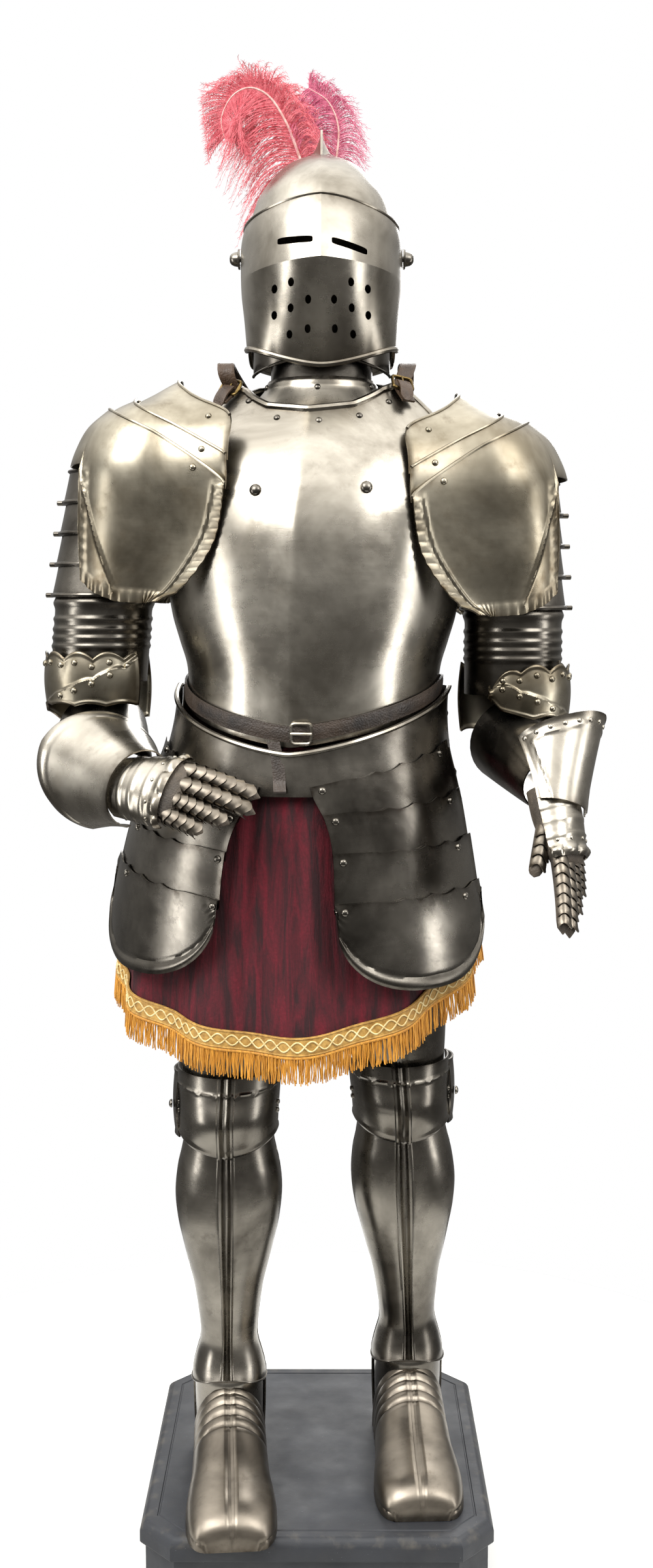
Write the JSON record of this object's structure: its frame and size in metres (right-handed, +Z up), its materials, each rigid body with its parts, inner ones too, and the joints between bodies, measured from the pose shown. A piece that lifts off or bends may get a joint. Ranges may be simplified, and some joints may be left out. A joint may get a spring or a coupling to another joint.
{
  "type": "suit of plate armour on a plinth",
  "caption": "Full plate armour with visored helmet, plume, pauldrons, gauntlets, tassets, velvet skirt, greaves and sabatons, standing empty on a chamfered plinth.",
  "frame": {"origin": "middle of the plinth's underside", "axes": "+Z up, the wearer faces -Y, +X is the wearer's left"},
  "size_m": [0.7382, 0.4986, 2.038],
  "materials": {
    "bright_steel": "polished plate steel",
    "golden_steel": "polished plate steel with a warm patina",
    "dark_steel": "darkened plate steel",
    "brown_steel": "browned plate steel",
    "brass": "dull brass",
    "belt_leather": "dark waxed leather",
    "strap_leather": "worn brown leather",
    "glove_leather": "dark soft leather",
    "velvet": "crimson velvet",
    "braid": "woven gold braid",
    "fringe": "gold fringe",
    "feather": "soft coral ostrich feather",
    "painted_wood": "dark blue-black gloss paint"
  },
  "bodies": {
    "suit": {"helm_skull": "bright_steel", "helm_bevor": "dark_steel", "plume": "feather", "plume_holder": "brass", "gorget_collar": "dark_steel", "gorget_plate": "bright_steel", "breastplate": "bright_steel", "backplate": "dark_steel", "waist_belt": "belt_leather", "belt_buckle": "bright_steel", "belt_tail": "belt_leather", "fauld_plate": "dark_steel", "culet": "dark_steel", "skirt_cloth": "velvet", "skirt_braid": "braid", "skirt_fringe": "fringe", "tasset_r_1": "dark_steel", "tasset_r_2": "dark_steel", "tasset_r_3": "dark_steel", "tasset_r_4": "dark_steel", "visor_pivot_r": "dark_steel", "shoulder_strap_r": "strap_leather", "shoulder_buckle_r": "brass", "greave_r": "dark_steel", "cuisse_r": "dark_steel", "poleyn_r": "dark_steel", "sabaton_r": "brown_steel", "tasset_l_1": "dark_steel", "tasset_l_2": "dark_steel", "tasset_l_3": "dark_steel", "tasset_l_4": "dark_steel", "visor_pivot_l": "dark_steel", "shoulder_strap_l": "strap_leather", "shoulder_buckle_l": "brass", "greave_l": "dark_steel", "cuisse_l": "dark_steel", "poleyn_l": "dark_steel", "sabaton_l": "brown_steel", "pauldron_r": "golden_steel", "pauldron_r_lame_2": "golden_steel", "pauldron_r_lame_1": "golden_steel", "arm_lames_r": "dark_steel", "rerebrace_r": "dark_steel", "couter_r": "golden_steel", "vambrace_r": "dark_steel", "gauntlet_cuff_r": "bright_steel", "glove_r": "glove_leather", "gauntlet_hand_r": "bright_steel", "pauldron_l": "golden_steel", "pauldron_l_lame_2": "golden_steel", "pauldron_l_lame_1": "golden_steel", "arm_lames_l": "dark_steel", "rerebrace_l": "dark_steel", "couter_l": "golden_steel", "vambrace_l": "dark_steel", "gauntlet_cuff_l": "bright_steel", "glove_l": "glove_leather", "gauntlet_hand_l": "bright_steel", "plinth": "painted_wood"},
    "visor": {"helm_visor": "bright_steel"}
  },
  "joints": [
    {"name": "visor_hinge", "type": "hinge", "parent": "suit", "child": "visor", "pos_m": [0.006, 0, 1.765], "axis": [-1, 0, 0], "range_deg": [0, 50]}
  ]
}
